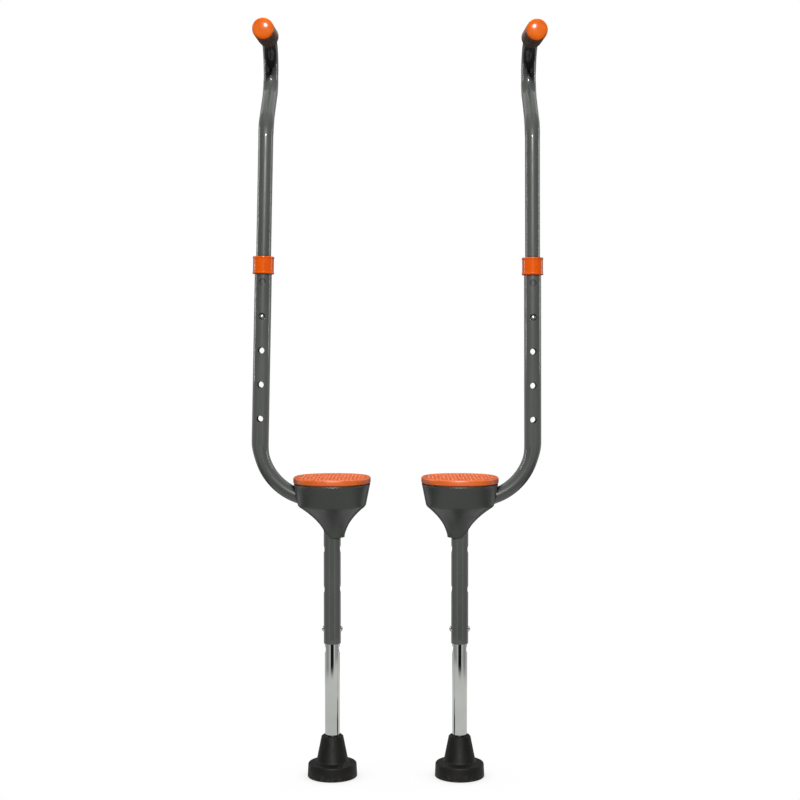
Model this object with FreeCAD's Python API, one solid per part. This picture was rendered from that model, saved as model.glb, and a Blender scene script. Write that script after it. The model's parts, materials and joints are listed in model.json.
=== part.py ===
import FreeCAD, Part
import math
import os

# A pair of hand-held walking stilts, in millimetres.
# Z is up, with the soles on Z = 0. X runs from the left stilt to the right one, and +Y is the walker's back.
# Each stilt is drawn as the left one, with its leg on the Z axis and its pole on the -X side, and is then
# leaned, mirrored and moved into place.

Vector = FreeCAD.Vector
X_AXIS = Vector(1, 0, 0)
Y_AXIS = Vector(0, 1, 0)
Z_AXIS = Vector(0, 0, 1)
ORIGIN = Vector(0, 0, 0)

# Tube stock: the outer tubes are one inch, and the inner tubes run in their bores
OUTER_R = 12.7
OUTER_BORE_R = 11.2
INNER_R = 11.1
INNER_BORE_R = 9.6

# Pair
LEG_OFFSET = 95.5
POLE_LEAN_DEG = {"left": 1.2, "right": 0.2}

# Rubber foot
FOOT_SOLE_R = 37.2
FOOT_SOLE_CHAMFER = 1.2
FOOT_DISC_TOP_R = 36.2
FOOT_DISC_EDGE_Z = 17.5
FOOT_DISC_TOP_Z = 20.5
FOOT_SHOULDER_R = 33.0
FOOT_NECK_R = 24.0
FOOT_NECK_Z = 24.0
FOOT_TOP_R = 16.4
FOOT_RIM_R = 14.2
FOOT_RIM_Z = 60.2
FOOT_TOP_Z = 62.2
FOOT_SOCKET_Z = 8.0
FOOT_SOCKET_R = 11.15
WASHER_THICKNESS = 2.0
WASHER_HOLE_R = 3.0

# Telescoping leg
LEG_TUBE_TOP_Z = 309.5
SLEEVE_BOTTOM_Z = 200.1
LEG_BUTTON_Z = 221.7
LEG_HOLE_PITCH = 60.0
LEG_HOLE_COUNT = 3
LEG_SPARE_HOLE_Z = 191.1
SLEEVE_HOLE_R = 5.15
LEG_TUBE_HOLE_R = 5.1

# Snap buttons and their leaf springs. Distances out are measured from the tube's axis.
LEG_BUTTON_R = 5.05
LEG_BUTTON_TIP_OUT = 15.7
HANDLE_BUTTON_R = 4.45
HANDLE_BUTTON_TIP_OUT = 13.4
HANDLE_DOME_HEIGHT = 3.0
FLANGE_IN_OUT = 6.0
FLANGE_THICKNESS = 1.4
FLANGE_EXTRA_R = 0.75
LEAF_THICKNESS = 0.8
LEAF_WIDTH = 8.0
LEAF_TAIL = 8.0
LEAF_LENGTH = 40.0
LEAF_BACK_OUT = 8.6

# Foot rest: pad, support plate and housing
PAD_HALF_WIDTH = 57.6
PAD_HALF_DEPTH = 72.0
PAD_POWER = 2.3
PAD_BOTTOM_Z = 440.7
PAD_TOP_Z = 450.2
PAD_EDGE_CHAMFER = 2.0
PEG_R = 3.0
PEG_LENGTH = 6.0
PEG_X = 26.0
PEG_Y = 34.0
PLATE_BOTTOM_Z = 437.7
PLATE_INSET = 4.0
PEG_HOLE_R = 3.05
RIM_Z = 440.1
RIM_HALF_WIDTH = 57.0
RIM_HALF_DEPTH = 70.0
RIM_POWER = 2.3
BAND_BOTTOM_Z = 407.5
BAND_BOTTOM_HALF_WIDTH = 50.5
BAND_BOTTOM_HALF_DEPTH = 56.0
BAND_POWER = 2.8
HOUSING_WALL = 2.5
NECK_Z = 360.0
NECK_R = 14.6
NECK_SHIFT = 4.0
NECK_SHIFT_RATE = 1.3
FUNNEL_CURVE = 1.75
FUNNEL_STEPS = 9
SLEEVE_GAP = 0.05
POLE_GAP = 0.8

# Plate screws
SCREW_PLACES = ((38.0, 0.0), (0.0, 44.0), (0.0, -44.0), (-20.0, 40.0))
SCREW_R = 2.0
SCREW_HOLE_R = 2.05
SCREW_HEAD_R = 3.8
SCREW_HEAD_HEIGHT = 2.4
SCREW_LENGTH = 16.0
SCREW_BOSS_R = 4.5
SCREW_BOSS_DEPTH = 12.0
HEAD_RECESS_GAP = 0.6

# Pole
POLE_OFFSET = 109.2
BEND_R = 85.0
BEND_Z = 416.5
POLE_TOP_Z = 772.5
HANDLE_BUTTON_Z = 687.5
POLE_HOLE_PITCH = 50.8
POLE_HOLES_ABOVE = 1
POLE_HOLES_BELOW = 3
POLE_HOLE_R = 4.6
HANDLE_TUBE_HOLE_R = 4.5

# Collar
COLLAR_BOTTOM_Z = 750.5
COLLAR_TOP_Z = 776.5
COLLAR_R = 16.0
COLLAR_LIP_R = 15.0
COLLAR_LIP_HEIGHT = 1.5
COLLAR_BORE_R = 12.75

# Handle
HANDLE_TUBE_BOTTOM_Z = 661.5
SETBACK_START_Z = 954.0
SETBACK = 63.0
SETBACK_BEND_R = 45.0
SETBACK_ANGLE = 45.0
GRIP_BEND_R = 50.0
GRIP_BEND_ANGLE = 95.0
GRIP_LENGTH = 78.0
GRIP_R = 15.7
GRIP_BORE_R = 11.15
GRIP_GROOVE_DEPTH = 1.6
GRIP_GROOVE_WIDTH = 3.4
GRIP_GROOVE_COUNT = 4
GRIP_END_ROUND = 2.0
CAP_R = 15.5
CAP_RIM = 3.0
CAP_DOME = 4.5
CAP_STEM_R = 9.55
CAP_STEM_LENGTH = 16.0
CAP_GAP = 0.5

# The pair is centred fore and aft between the pads' front edges and the handles' backs
PAIR_SHIFT_Y = -(SETBACK + INNER_R - PAD_HALF_DEPTH) / 2
OVAL_POINTS = 32


class BentPath:
    """A run of straights and bends in one plane. A bend with a positive angle turns towards normal x heading."""

    def __init__(self, start, heading, normal):
        self.point = start
        self.heading = heading
        self.normal = normal
        self.start = (start, heading)
        self.edges = []

    def straight(self, length):
        end = self.point + self.heading * length
        self.edges.append(Part.makeLine(self.point, end))
        self.point = end
        return self

    def bend(self, radius, angle):
        towards = self.normal.cross(self.heading) * math.copysign(1, angle)
        centre = self.point + towards * radius

        def at(turned):
            return centre - towards * radius * math.cos(turned) + self.heading * radius * math.sin(turned)

        full = math.radians(abs(angle))
        end = at(full)
        self.edges.append(Part.Arc(self.point, at(full / 2), end).toShape())
        self.heading = self.heading * math.cos(full) + towards * math.sin(full)
        self.point = end
        return self

    def rod(self, radius):
        """A solid round bar along the whole path."""
        circle = Part.Wire([Part.makeCircle(radius, *self.start)])
        return Part.Wire(self.edges).makePipeShell([circle], True, True)


def cylinder(radius, bottom_z, top_z, x=0.0, y=0.0):
    return Part.makeCylinder(radius, top_z - bottom_z, Vector(x, y, bottom_z), Z_AXIS)


def tube(outer_r, inner_r, bottom_z, top_z):
    return cylinder(outer_r, bottom_z, top_z).cut(cylinder(inner_r, bottom_z, top_z))


def cross_hole(radius, z, axis, x=0.0):
    """A pin right through a tube, at height z, along axis."""
    reach = 2 * OUTER_R
    return Part.makeCylinder(radius, 2 * reach, Vector(x, 0, z) - axis * reach, axis)


def revolved(profile, bottom=ORIGIN, axis=Z_AXIS):
    """Turns (radius, height) corners about an axis that starts at bottom."""
    corners = [Vector(r, 0, z) for r, z in profile]
    face = Part.Face(Part.makePolygon(corners + corners[:1]))
    solid = face.revolve(ORIGIN, Z_AXIS, 360)
    solid.Placement = FreeCAD.Placement(bottom, FreeCAD.Rotation(Z_AXIS, axis))
    return solid


def oval(half_x, half_y, z, power, centre_x=0.0):
    """A closed superellipse wire: power 2 is an ellipse, and more is squarer."""
    points = []
    for step in range(OVAL_POINTS):
        angle = 2 * math.pi * step / OVAL_POINTS
        c, s = math.cos(angle), math.sin(angle)
        x = half_x * math.copysign(abs(c) ** (2 / power), c)
        y = half_y * math.copysign(abs(s) ** (2 / power), s)
        points.append(Vector(centre_x + x, y, z))
    curve = Part.BSplineCurve()
    curve.interpolate(points, PeriodicFlag=True)
    return Part.Wire([curve.toShape()])


def oval_block(half_x, half_y, bottom_z, top_z, power):
    height = Vector(0, 0, top_z - bottom_z)
    return Part.Face(oval(half_x, half_y, bottom_z, power)).extrude(height)


def leaned(shape, lean):
    """Tips a pole piece towards the middle of the pair, about the joint of pole and sleeve."""
    tipped = shape.copy()
    tipped.rotate(Vector(-OUTER_R, 0, BEND_Z), Y_AXIS, lean)
    return tipped


def pole_path(top_z):
    path = BentPath(Vector(0, 0, BEND_Z), -X_AXIS, Y_AXIS)
    path.straight(POLE_OFFSET - BEND_R)
    path.bend(BEND_R, 90)
    return path.straight(top_z - BEND_Z - BEND_R)


def handle_path():
    """From the handle tube's bottom end to the start of the grip."""
    angle = math.radians(SETBACK_ANGLE)
    middle_run = (SETBACK - 2 * SETBACK_BEND_R * (1 - math.cos(angle))) / math.sin(angle)
    path = BentPath(Vector(-POLE_OFFSET, 0, HANDLE_TUBE_BOTTOM_Z), Z_AXIS, -X_AXIS)
    path.straight(SETBACK_START_Z - HANDLE_TUBE_BOTTOM_Z)
    path.bend(SETBACK_BEND_R, SETBACK_ANGLE)
    path.straight(middle_run)
    path.bend(SETBACK_BEND_R, -SETBACK_ANGLE)
    return path.bend(GRIP_BEND_R, -GRIP_BEND_ANGLE)


def pole_hole_heights():
    return [
        HANDLE_BUTTON_Z + POLE_HOLE_PITCH * step for step in range(-POLE_HOLES_BELOW, POLE_HOLES_ABOVE + 1)
    ]


def leg_hole_heights():
    return [LEG_BUTTON_Z + LEG_HOLE_PITCH * step for step in range(LEG_HOLE_COUNT)]


def rubber_foot(lean):
    profile = [
        (0, 0),
        (FOOT_SOLE_R - FOOT_SOLE_CHAMFER, 0),
        (FOOT_SOLE_R, FOOT_SOLE_CHAMFER),
        (FOOT_DISC_TOP_R, FOOT_DISC_EDGE_Z),
        (FOOT_SHOULDER_R, FOOT_DISC_TOP_Z),
        (FOOT_NECK_R, FOOT_NECK_Z),
        (FOOT_TOP_R, FOOT_RIM_Z),
        (FOOT_RIM_R, FOOT_TOP_Z),
        (FOOT_SOCKET_R, FOOT_TOP_Z),
        (FOOT_SOCKET_R, FOOT_SOCKET_Z),
        (0, FOOT_SOCKET_Z),
    ]
    return revolved(profile)


def foot_washer(lean):
    return tube(INNER_R, WASHER_HOLE_R, FOOT_SOCKET_Z, FOOT_SOCKET_Z + WASHER_THICKNESS)


def leg_tube(lean):
    solid = tube(INNER_R, INNER_BORE_R, FOOT_SOCKET_Z + WASHER_THICKNESS, LEG_TUBE_TOP_Z)
    for z in (LEG_SPARE_HOLE_Z, LEG_BUTTON_Z):
        solid = solid.cut(cross_hole(LEG_TUBE_HOLE_R, z, X_AXIS))
    return solid


def leg_sleeve(lean):
    solid = tube(OUTER_R, OUTER_BORE_R, SLEEVE_BOTTOM_Z, PLATE_BOTTOM_Z)
    for z in leg_hole_heights():
        solid = solid.cut(cross_hole(SLEEVE_HOLE_R, z, X_AXIS))
    return solid


def snap_button(radius, tip_out, dome_height, middle, outwards):
    """A domed button: its flange bears on the leaf spring, and its tip stands tip_out from the tube's axis."""
    flange_r = radius + FLANGE_EXTRA_R
    flange_top = FLANGE_IN_OUT + FLANGE_THICKNESS
    dome_start = tip_out - dome_height
    side = [(0, FLANGE_IN_OUT), (flange_r, FLANGE_IN_OUT), (flange_r, flange_top), (radius, flange_top)]
    edges = [Part.makeLine(Vector(a[0], 0, a[1]), Vector(b[0], 0, b[1])) for a, b in zip(side, side[1:])]
    edges.append(Part.makeLine(Vector(radius, 0, flange_top), Vector(radius, 0, dome_start)))
    dome_r = (radius**2 + dome_height**2) / (2 * dome_height)
    half_angle = math.asin(radius / dome_r) / 2
    dome_middle = Vector(dome_r * math.sin(half_angle), 0, tip_out - dome_r * (1 - math.cos(half_angle)))
    edges.append(Part.Arc(Vector(radius, 0, dome_start), dome_middle, Vector(0, 0, tip_out)).toShape())
    edges.append(Part.makeLine(Vector(0, 0, tip_out), Vector(0, 0, FLANGE_IN_OUT)))
    solid = Part.Face(Part.Wire(edges)).revolve(ORIGIN, Z_AXIS, 360)
    solid.Placement = FreeCAD.Placement(middle, FreeCAD.Rotation(Z_AXIS, outwards))
    return solid


def leaf_spring(middle, outwards, front_out, back_out):
    """A strip folded into a hairpin. One leg stands front_out from the tube's axis, the other back_out behind it."""
    across = Z_AXIS.cross(outwards)
    bend_r = (front_out + back_out) / 2
    bend_centre = Vector(0, 0, LEAF_LENGTH) + outwards * (front_out - back_out) / 2
    foot = Vector(0, 0, -LEAF_TAIL)

    def hairpin(radius):
        """The outline of a hairpin with this outer radius, closed across its open end."""
        front = bend_centre + outwards * radius
        back = bend_centre - outwards * radius
        down = foot - Vector(0, 0, LEAF_LENGTH)
        return Part.Wire(
            [
                Part.makeLine(front + down, front),
                Part.Arc(front, bend_centre + Z_AXIS * radius, back).toShape(),
                Part.makeLine(back, back + down),
                Part.makeLine(back + down, front + down),
            ]
        )

    blocks = [Part.Face(hairpin(r)).extrude(across * LEAF_WIDTH) for r in (bend_r, bend_r - LEAF_THICKNESS)]
    strip = blocks[0].cut(blocks[1])
    strip.translate(middle - across * LEAF_WIDTH / 2)
    return strip


def leg_spring(lean):
    return leaf_spring(Vector(0, 0, LEG_BUTTON_Z), X_AXIS, FLANGE_IN_OUT, FLANGE_IN_OUT)


def leg_button_outer(lean):
    return snap_button(LEG_BUTTON_R, LEG_BUTTON_TIP_OUT, LEG_BUTTON_R, Vector(0, 0, LEG_BUTTON_Z), -X_AXIS)


def leg_button_inner(lean):
    return snap_button(LEG_BUTTON_R, LEG_BUTTON_TIP_OUT, LEG_BUTTON_R, Vector(0, 0, LEG_BUTTON_Z), X_AXIS)


def foot_pad(lean):
    pad = oval_block(PAD_HALF_WIDTH, PAD_HALF_DEPTH, PAD_BOTTOM_Z, PAD_TOP_Z, PAD_POWER)
    top_edge = [edge for edge in pad.Edges if edge.BoundBox.ZMin > PAD_TOP_Z - 1]
    pad = pad.makeChamfer(PAD_EDGE_CHAMFER, top_edge)
    for x in (-PEG_X, PEG_X):
        for y in (-PEG_Y, PEG_Y):
            pad = pad.fuse(cylinder(PEG_R, PAD_BOTTOM_Z - PEG_LENGTH, PAD_BOTTOM_Z, x, y))
    for x, y in SCREW_PLACES:
        recess_top = PAD_BOTTOM_Z + SCREW_HEAD_HEIGHT + HEAD_RECESS_GAP
        pad = pad.cut(cylinder(SCREW_HEAD_R + HEAD_RECESS_GAP, PAD_BOTTOM_Z, recess_top, x, y))
    return pad


def pole_passage(lean):
    """The room a pole tube needs where it enters the foot rest."""
    return leaned(pole_path(BEND_Z + 2 * BEND_R).rod(OUTER_R + POLE_GAP), lean)


def support_plate(lean):
    half_width = RIM_HALF_WIDTH - PLATE_INSET
    half_depth = RIM_HALF_DEPTH - PLATE_INSET
    plate = oval_block(half_width, half_depth, PLATE_BOTTOM_Z, PAD_BOTTOM_Z, RIM_POWER)
    for x in (-PEG_X, PEG_X):
        for y in (-PEG_Y, PEG_Y):
            plate = plate.cut(cylinder(PEG_HOLE_R, PLATE_BOTTOM_Z, PAD_BOTTOM_Z, x, y))
    for x, y in SCREW_PLACES:
        plate = plate.cut(cylinder(SCREW_HOLE_R, PLATE_BOTTOM_Z, PAD_BOTTOM_Z, x, y))
    return plate.cut(pole_passage(lean))


def plate_screws(lean):
    screws = []
    for x, y in SCREW_PLACES:
        head = cylinder(SCREW_HEAD_R, PAD_BOTTOM_Z, PAD_BOTTOM_Z + SCREW_HEAD_HEIGHT, x, y)
        shank = cylinder(SCREW_R, PAD_BOTTOM_Z - SCREW_LENGTH, PAD_BOTTOM_Z, x, y)
        screws.append(head.fuse(shank))
    return Part.makeCompound(screws)


def housing_body(inset):
    """The housing's outer form, shrunk all round by inset: an oval band over a funnel that narrows to the neck."""
    band = Part.makeLoft(
        [
            oval(BAND_BOTTOM_HALF_WIDTH - inset, BAND_BOTTOM_HALF_DEPTH - inset, BAND_BOTTOM_Z, BAND_POWER),
            oval(RIM_HALF_WIDTH - inset, RIM_HALF_DEPTH - inset, RIM_Z, RIM_POWER),
        ],
        True,
    )
    sections = []
    for step in range(FUNNEL_STEPS + 1):
        share = step / FUNNEL_STEPS
        z = NECK_Z + (BAND_BOTTOM_Z - NECK_Z) * share
        spread = share**FUNNEL_CURVE
        half_width = NECK_R + (BAND_BOTTOM_HALF_WIDTH - NECK_R) * spread
        half_depth = NECK_R + (BAND_BOTTOM_HALF_DEPTH - NECK_R) * spread
        power = 2 + (BAND_POWER - 2) * spread
        shift = NECK_SHIFT * min(1.0, NECK_SHIFT_RATE * (1 - share))
        sections.append(oval(half_width - inset, half_depth - inset, z, power, shift))
    return band.fuse(Part.makeLoft(sections, True))


def housing(lean):
    body = housing_body(0)
    shell = body.cut(housing_body(HOUSING_WALL))
    for x, y in SCREW_PLACES:
        boss = cylinder(SCREW_BOSS_R, BAND_BOTTOM_Z - SCREW_BOSS_DEPTH, PLATE_BOTTOM_Z, x, y)
        shell = shell.fuse(boss.common(body))
    for x, y in SCREW_PLACES:
        shell = shell.cut(cylinder(SCREW_HOLE_R, PAD_BOTTOM_Z - SCREW_LENGTH, PLATE_BOTTOM_Z, x, y))
    shell = shell.cut(cylinder(OUTER_R + SLEEVE_GAP, NECK_Z, RIM_Z))
    return shell.cut(pole_passage(lean))


def pole_tube(lean):
    path = pole_path(POLE_TOP_Z)
    solid = path.rod(OUTER_R).cut(path.rod(OUTER_BORE_R))
    for z in pole_hole_heights():
        solid = solid.cut(cross_hole(POLE_HOLE_R, z, Y_AXIS, -POLE_OFFSET))
    return leaned(solid, lean).cut(cylinder(OUTER_R, BEND_Z - BEND_R, BEND_Z + BEND_R))


def collar(lean):
    profile = [
        (COLLAR_BORE_R, COLLAR_BOTTOM_Z),
        (COLLAR_LIP_R, COLLAR_BOTTOM_Z),
        (COLLAR_R, COLLAR_BOTTOM_Z + COLLAR_LIP_HEIGHT),
        (COLLAR_R, COLLAR_TOP_Z - COLLAR_LIP_HEIGHT),
        (COLLAR_LIP_R, COLLAR_TOP_Z),
        (OUTER_BORE_R, COLLAR_TOP_Z),
        (OUTER_BORE_R, POLE_TOP_Z),
        (COLLAR_BORE_R, POLE_TOP_Z),
    ]
    return leaned(revolved(profile, Vector(-POLE_OFFSET, 0, 0)), lean)


def handle_tube(lean):
    path = handle_path().straight(GRIP_LENGTH - CAP_GAP)
    solid = path.rod(INNER_R).cut(path.rod(INNER_BORE_R))
    # the hole is on the front side only
    hole = Part.makeCylinder(
        HANDLE_TUBE_HOLE_R, OUTER_R, Vector(-POLE_OFFSET, 0, HANDLE_BUTTON_Z), -Y_AXIS
    )
    return leaned(solid.cut(hole), lean)


def grip(lean):
    start = handle_path()
    groove_pitch = GRIP_LENGTH / (GRIP_GROOVE_COUNT + 1)
    profile = [(GRIP_BORE_R, 0), (GRIP_R - GRIP_END_ROUND, 0), (GRIP_R, GRIP_END_ROUND)]
    for number in range(1, GRIP_GROOVE_COUNT + 1):
        middle = number * groove_pitch
        profile.append((GRIP_R, middle - GRIP_GROOVE_WIDTH / 2))
        profile.append((GRIP_R - GRIP_GROOVE_DEPTH, middle))
        profile.append((GRIP_R, middle + GRIP_GROOVE_WIDTH / 2))
    profile.append((GRIP_R, GRIP_LENGTH))
    profile.append((GRIP_BORE_R, GRIP_LENGTH))
    return leaned(revolved(profile, start.point, start.heading), lean)


def grip_cap(lean):
    start = handle_path()
    rim_top = GRIP_LENGTH + CAP_RIM
    dome_r = (CAP_R**2 + CAP_DOME**2) / (2 * CAP_DOME)
    rim = Part.makeCylinder(CAP_R, CAP_RIM, Vector(0, 0, GRIP_LENGTH))
    ball = Part.makeSphere(dome_r, Vector(0, 0, rim_top + CAP_DOME - dome_r))
    dome = ball.common(Part.makeCylinder(CAP_R, CAP_DOME, Vector(0, 0, rim_top)))
    stem = Part.makeCylinder(CAP_STEM_R, CAP_STEM_LENGTH, Vector(0, 0, GRIP_LENGTH - CAP_STEM_LENGTH))
    cap = rim.fuse([dome, stem]).removeSplitter()
    cap.Placement = FreeCAD.Placement(start.point, FreeCAD.Rotation(Z_AXIS, start.heading))
    return leaned(cap, lean)


def handle_spring(lean):
    middle = Vector(-POLE_OFFSET, 0, HANDLE_BUTTON_Z)
    return leaned(leaf_spring(middle, -Y_AXIS, FLANGE_IN_OUT, LEAF_BACK_OUT), lean)


def handle_button(lean):
    middle = Vector(-POLE_OFFSET, 0, HANDLE_BUTTON_Z)
    button = snap_button(HANDLE_BUTTON_R, HANDLE_BUTTON_TIP_OUT, HANDLE_DOME_HEIGHT, middle, -Y_AXIS)
    return leaned(button, lean)


PIECES = (
    rubber_foot,
    foot_washer,
    leg_tube,
    leg_spring,
    leg_button_outer,
    leg_button_inner,
    leg_sleeve,
    foot_pad,
    support_plate,
    plate_screws,
    housing,
    pole_tube,
    collar,
    handle_tube,
    grip,
    grip_cap,
    handle_spring,
    handle_button,
)


def placed(shape, side):
    """Moves a finished piece from the stilt's own frame into the pair's frame."""
    moved = shape.copy()
    moved.translate(Vector(-LEG_OFFSET, PAIR_SHIFT_Y, 0))
    return moved if side == "left" else moved.mirror(ORIGIN, X_AXIS)


def main():
    os.makedirs("parts", exist_ok=True)
    for side, lean in POLE_LEAN_DEG.items():
        for piece in PIECES:
            shape = placed(piece(lean), side)
            if not shape.isValid():
                raise ValueError(f"{side} {piece.__name__} is not a valid shape")
            shape.exportStep(f"parts/{side}_{piece.__name__}.step")


main()
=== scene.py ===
import json
import math

import bmesh
import bpy
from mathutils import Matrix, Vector


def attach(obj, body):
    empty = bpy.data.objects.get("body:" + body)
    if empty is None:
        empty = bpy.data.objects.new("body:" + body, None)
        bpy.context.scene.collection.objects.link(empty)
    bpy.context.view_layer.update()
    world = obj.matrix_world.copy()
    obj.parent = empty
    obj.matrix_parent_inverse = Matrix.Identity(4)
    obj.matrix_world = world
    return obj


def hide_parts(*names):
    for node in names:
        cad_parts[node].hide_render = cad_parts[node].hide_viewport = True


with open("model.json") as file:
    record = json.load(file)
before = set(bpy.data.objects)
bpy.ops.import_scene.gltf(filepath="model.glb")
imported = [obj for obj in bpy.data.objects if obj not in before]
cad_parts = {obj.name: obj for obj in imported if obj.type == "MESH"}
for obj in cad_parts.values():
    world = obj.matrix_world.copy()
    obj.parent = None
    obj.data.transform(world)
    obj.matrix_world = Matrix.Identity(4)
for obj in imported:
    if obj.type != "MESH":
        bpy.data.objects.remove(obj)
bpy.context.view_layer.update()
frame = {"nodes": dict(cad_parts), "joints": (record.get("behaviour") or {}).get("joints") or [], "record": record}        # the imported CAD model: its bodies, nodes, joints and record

# A pair of hand-held walking stilts. Each piece is drawn for the left stilt, in millimetres, with its leg on
# the Z axis and its pole on the -X side, and is then leaned, mirrored and moved to where the CAD has it.

MM = 0.001

# ---------------------------------------------------------------- sizes, as in the CAD
OUTER_R = 12.7
OUTER_BORE_R = 11.2
INNER_R = 11.1
INNER_BORE_R = 9.6

FOOT_SOLE_R = 37.2
FOOT_DISC_TOP_R = 36.2
FOOT_DISC_TOP_Z = 20.5
FOOT_NECK_R = 24.0
FOOT_NECK_Z = 22.5
FOOT_TOP_R = 16.4
FOOT_RIM_R = 14.2
FOOT_RIM_Z = 60.2
FOOT_TOP_Z = 62.2
FOOT_SOCKET_Z = 10.0
FOOT_SOCKET_R = 11.12
FOOT_SOCKET_LIP = 0.8
SOLE_GROOVE_RADII = (8.0, 15.0, 22.0, 29.0)
SOLE_GROOVE_WIDTH = 2.4
SOLE_GROOVE_DEPTH = 1.4
SOLE_GROOVE_SLOPE = 0.5

LEG_TUBE_BOTTOM_Z = 10.0
LEG_TUBE_TOP_Z = 309.5
SLEEVE_BOTTOM_Z = 200.1
SLEEVE_TOP_Z = 437.7
LEG_BUTTON_Z = 221.7
LEG_HOLE_PITCH = 60.0
LEG_HOLE_COUNT = 3
LEG_SPARE_HOLE_Z = 191.1
SLEEVE_HOLE_R = 5.15
LEG_TUBE_HOLE_R = 5.1

LEG_BUTTON_R = 5.05
LEG_BUTTON_TIP_OUT = 15.7
HANDLE_BUTTON_R = 4.45
HANDLE_BUTTON_TIP_OUT = 13.4
HANDLE_DOME_HEIGHT = 3.0
FLANGE_IN_OUT = 6.0
FLANGE_THICKNESS = 1.4
FLANGE_EXTRA_R = 0.75

PAD_HALF_WIDTH = 57.6
PAD_HALF_DEPTH = 72.0
PAD_POWER = 2.3
PAD_BOTTOM_Z = 440.7
PAD_TOP_Z = 450.2
PAD_SKIRT = 2.4               # how far the pad's underside stands in from its edge
PAD_SKIRT_HEIGHT = 1.3
PAD_SKIRT_DRAFT = 0.4
PAD_LEDGE_DRAFT = 0.2
PAD_BORDER = 5.0
TREAD_SLOPE = 1.2
TREAD_FLOOR_Z = PAD_TOP_Z - 1.1
TREAD_PITCH = 5.6
TREAD_MARGIN = 7.5
STUD_HALF_LENGTH = 2.5
STUD_HALF_WIDTH = 1.35
# (share of the stud's size, height over the tread's floor)
STUD_OUTLINE = ((0, -0.4), (1, -0.4), (1, 0.25), (0.92, 0.75), (0.68, 1.03), (0, 1.1))
RIM_Z = 440.1
RIM_HALF_WIDTH = 57.0
RIM_HALF_DEPTH = 70.0
RIM_POWER = 2.3
RIM_ROUND = 0.9
BAND_BOTTOM_Z = 407.5
BAND_BOTTOM_HALF_WIDTH = 50.5
BAND_BOTTOM_HALF_DEPTH = 56.0
BAND_POWER = 2.8
BAND_CORNER = 1.8             # how far above the band's lower edge its rounding starts
FUNNEL_CORNER = 1.3 * BAND_CORNER        # and how far below it ends
HOUSING_WALL = 2.5
NECK_Z = 360.0
NECK_R = 14.6
NECK_SHIFT = 4.0
NECK_SHIFT_RATE = 1.3
NECK_ROUND = 0.8
FUNNEL_CURVE = 1.75
SLEEVE_GAP = 0.05
POLE_GAP = 0.8

POLE_OFFSET = 109.2
BEND_R = 85.0
BEND_Z = 416.5
POLE_TOP_Z = 772.5
HANDLE_BUTTON_Z = 687.5
POLE_HOLE_PITCH = 50.8
POLE_HOLES_ABOVE = 1
POLE_HOLES_BELOW = 3
POLE_HOLE_R = 4.6
HANDLE_TUBE_HOLE_R = 4.5

COLLAR_BOTTOM_Z = 750.5
COLLAR_TOP_Z = 776.5
COLLAR_R = 16.0
COLLAR_BORE_R = 12.75
COLLAR_WAIST = 0.5            # how much thinner the collar is between its two beads
COLLAR_BEAD = 2.6
COLLAR_BEAD_SLOPE = 0.8
COLLAR_SEAT = 0.1

HANDLE_TUBE_BOTTOM_Z = 661.5
SETBACK_START_Z = 954.0
SETBACK = 63.0
SETBACK_BEND_R = 45.0
SETBACK_ANGLE = 45.0
GRIP_BEND_R = 50.0
GRIP_BEND_ANGLE = 95.0
GRIP_LENGTH = 78.0
GRIP_R = 15.7
GRIP_BORE_R = 11.13
GRIP_GROOVE_DEPTH = 2.6
GRIP_GROOVE_WIDTH = 5.0
GRIP_GROOVE_FLOOR = 1.2
GRIP_GROOVE_COUNT = 4
GRIP_TAPER = 1.5
GRIP_TAPER_LENGTH = 3.0
CAP_R = 15.5
CAP_RIM = 3.0
CAP_DOME = 4.5
CAP_SHOULDER = 2.0
CAP_SHOULDER_RISE = 1.3

# ---------------------------------------------------------------- mesh fineness
COLUMNS = 64              # round a tube
HOLE_SPAN = 6             # columns on each side of a hole that are redrawn to meet it
HOLE_LOOPS = 4
EDGE_ROUND = 0.45         # rounding of drilled and cut edges
HOLE_ROUND = 0.9          # the lip of a hole, a little sunk by the punch
BEND_STEP_DEG = 2.5
BEND_SETTLE = 0.22        # the share of a bend over which its flattening sets in
POLE_FLATTENING = 0.12
HANDLE_FLATTENING = 0.05
TURNED_COLUMNS = 96
OVAL_COLUMNS = 160
STUD_COLUMNS = 12
DOME_STEPS = 14
CAP_STEPS = 16
BAND_ROWS = 6
CORNER_ROWS = 6
FUNNEL_ROWS = 30
QUARTER_TURN = tuple(math.radians(angle) for angle in (0, 30, 60, 90))
WELD_DISTANCE = 0.002
SMOOTH_BELOW_DEG = 32

X_AXIS = Vector((1, 0, 0))
Y_AXIS = Vector((0, 1, 0))
Z_AXIS = Vector((0, 0, 1))


# ---------------------------------------------------------------- drawing tools
class Shell:
    """Grids of points, in millimetres, that are welded into one mesh."""

    def __init__(self):
        self.points = []
        self.faces = []

    def grid(self, rows, closed=True):
        """Joins each row of points to the next, and a closed row's end to its start."""
        first = len(self.points)
        width = len(rows[0])
        for row in rows:
            self.points.extend(row)
        for i in range(len(rows) - 1):
            for j in range(width if closed else width - 1):
                a = first + i * width + j
                b = first + i * width + (j + 1) % width
                self.faces.append((a, b, b + width, a + width))


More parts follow.
